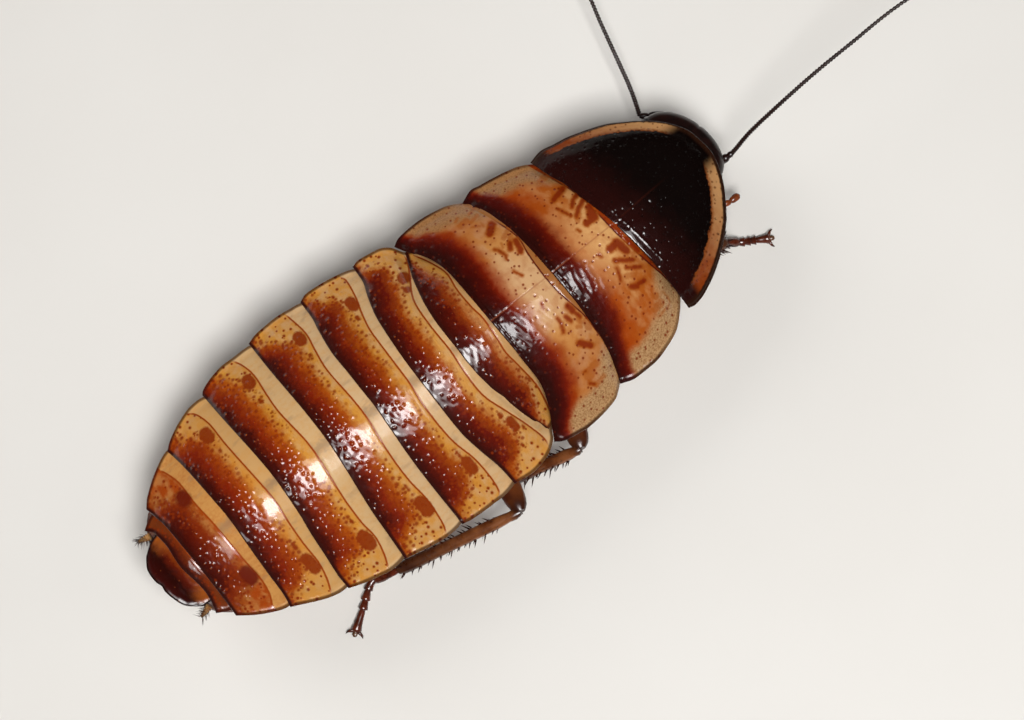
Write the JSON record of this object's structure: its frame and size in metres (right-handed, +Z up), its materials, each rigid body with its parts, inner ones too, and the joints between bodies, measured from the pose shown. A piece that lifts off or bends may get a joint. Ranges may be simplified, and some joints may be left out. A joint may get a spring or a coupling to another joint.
{
  "type": "cockroach specimen model",
  "caption": "Life-size still model of a dwarf hissing cockroach: domed banded back plates, dark neck shield, spiny legs, long beaded antennae, standing on its feet.",
  "frame": {"origin": "on the floor under the middle of the whole model's bounding box", "axes": "-Y towards the head, +X to the animal's left, +Z up"},
  "size_m": [0.0356, 0.0684, 0.0098],
  "materials": {
    "shield_black": "glossy near-black maroon horn with a cream margin",
    "chest_amber": "glossy amber horn with dark hind bands",
    "back_chestnut": "glossy chestnut horn with cream front bands",
    "belly_brown": "satin brown horn",
    "head_black": "glossy near-black horn",
    "eye_black": "faceted black eye",
    "leg_brown": "satin amber-brown horn with dark spines",
    "feeler_brown": "satin dark brown beads"
  },
  "bodies": {
    "root": {"pronotum": "shield_black", "mesonotum": "chest_amber", "metanotum": "chest_amber", "tergite_1": "back_chestnut", "tergite_2": "back_chestnut", "tergite_3": "back_chestnut", "tergite_4": "back_chestnut", "tergite_5": "back_chestnut", "tergite_6": "back_chestnut", "tergite_7": "back_chestnut", "tergite_8": "back_chestnut", "supra_anal_plate": "back_chestnut", "prosternum": "belly_brown", "mesosternum": "belly_brown", "metasternum": "belly_brown", "sternite_2": "belly_brown", "sternite_3": "belly_brown", "sternite_4": "belly_brown", "sternite_5": "belly_brown", "sternite_6": "belly_brown", "subgenital_plate": "belly_brown", "head": "head_black", "left_eye": "eye_black", "right_eye": "eye_black", "left_scape": "feeler_brown", "right_scape": "feeler_brown", "left_flagellum": "feeler_brown", "right_flagellum": "feeler_brown", "left_maxillary_palp": "leg_brown", "right_maxillary_palp": "leg_brown", "left_labial_palp": "leg_brown", "right_labial_palp": "leg_brown", "left_cercus": "leg_brown", "right_cercus": "leg_brown", "left_fore_coxa": "leg_brown", "left_fore_femur": "leg_brown", "left_fore_tibia": "leg_brown", "left_fore_tarsus": "leg_brown", "right_fore_coxa": "leg_brown", "right_fore_femur": "leg_brown", "right_fore_tibia": "leg_brown", "right_fore_tarsus": "leg_brown", "left_mid_coxa": "leg_brown", "left_mid_femur": "leg_brown", "left_mid_tibia": "leg_brown", "left_mid_tarsus": "leg_brown", "right_mid_coxa": "leg_brown", "right_mid_femur": "leg_brown", "right_mid_tibia": "leg_brown", "right_mid_tarsus": "leg_brown", "left_hind_coxa": "leg_brown", "left_hind_femur": "leg_brown", "left_hind_tibia": "leg_brown", "left_hind_tarsus": "leg_brown", "right_hind_coxa": "leg_brown", "right_hind_femur": "leg_brown", "right_hind_tibia": "leg_brown", "right_hind_tarsus": "leg_brown"}
  },
  "joints": []
}
